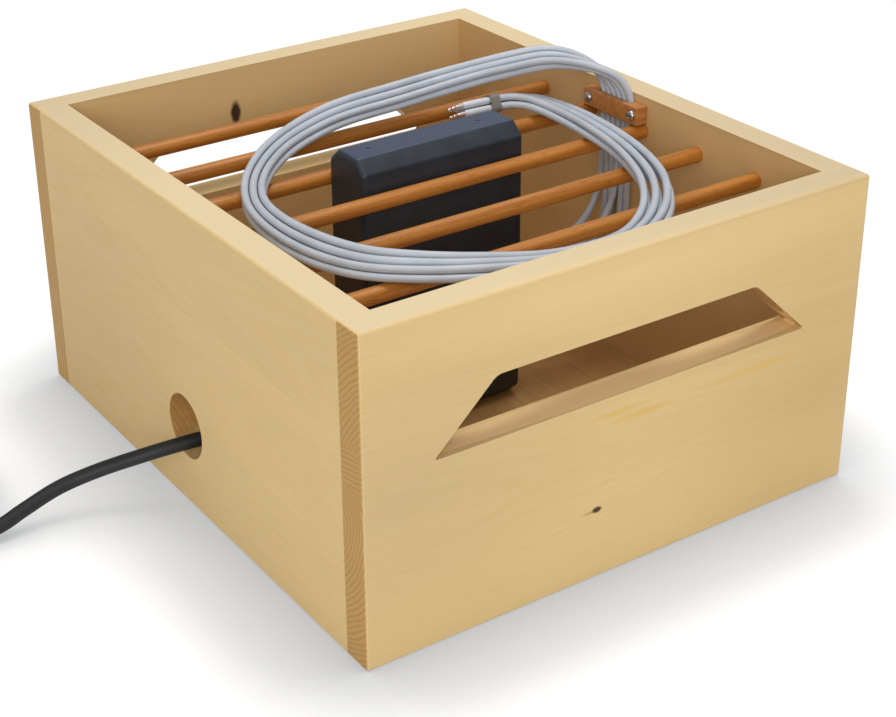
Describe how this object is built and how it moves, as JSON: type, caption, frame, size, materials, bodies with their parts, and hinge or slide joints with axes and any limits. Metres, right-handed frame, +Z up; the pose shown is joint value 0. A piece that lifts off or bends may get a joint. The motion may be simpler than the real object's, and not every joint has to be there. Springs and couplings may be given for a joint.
{
  "type": "laptop charging box",
  "caption": "Open pine box with hand slots and a row of dowels that part standing laptops, holding a charger, a bundle of charging leads under a screwed clamp and a mains lead.",
  "frame": {"origin": "middle of the underside of the box", "axes": "+X to the right along the front, +Y to the back, +Z up"},
  "size_m": [0.565, 0.377, 0.2063],
  "materials": {
    "pine_cover": "oiled",
    "pine_side": "oiled",
    "plywood": "plain",
    "peg_wood": "plain",
    "dowel_wood": "oiled",
    "clamp_wood": "oiled",
    "case_black": "satin",
    "connector_black": "matte",
    "screw_steel": "bright",
    "pin_brass": "bright",
    "board_green": "matte",
    "core_steel": "varnished",
    "can_blue": "sleeved",
    "fin_aluminium": "plain",
    "lead_grey": "satin",
    "plug_white": "satin",
    "tip_metal": "bright",
    "tie_grey": "matte",
    "cord_black": "matte"
  },
  "bodies": {
    "box": {"front_board": "pine_cover", "back_board": "pine_cover", "left_board": "pine_side", "right_board": "pine_side", "bottom_panel": "plywood", "corner_pegs": "peg_wood", "dowel_1": "dowel_wood", "dowel_2": "dowel_wood", "dowel_3": "dowel_wood", "dowel_4": "dowel_wood", "dowel_5": "dowel_wood", "dowel_6": "dowel_wood", "charging_leads": "lead_grey", "outlet_plugs": "plug_white", "lead_plugs": "plug_white", "lead_tips": "tip_metal", "lead_tie": "tie_grey", "mains_connector": "connector_black", "connector_relief": "cord_black", "mains_lead": "cord_black", "mains_coil": "cord_black", "mains_tail": "cord_black", "coil_tie": "tie_grey", "plug_relief": "cord_black", "mains_plug": "connector_black", "plug_pins": "screw_steel"},
    "charger": {"charger_shell": "case_black", "charger_base": "case_black", "charger_screws": "screw_steel", "charger_inlet": "connector_black", "inlet_pins": "pin_brass", "charger_outlets": "connector_black", "circuit_board": "board_green", "transformer": "core_steel", "capacitors": "can_blue", "heat_sink": "fin_aluminium"},
    "clamp": {"clamp_bar": "clamp_wood", "clamp_screws": "screw_steel"}
  },
  "joints": [
    {"name": "charger_lift", "type": "slide", "parent": "box", "child": "charger", "axis": [0, 0, 1], "range_m": [0, 0.2]},
    {"name": "clamp_ease", "type": "slide", "parent": "box", "child": "clamp", "axis": [-1, 0, 0], "range_m": [0, 0.005]}
  ]
}
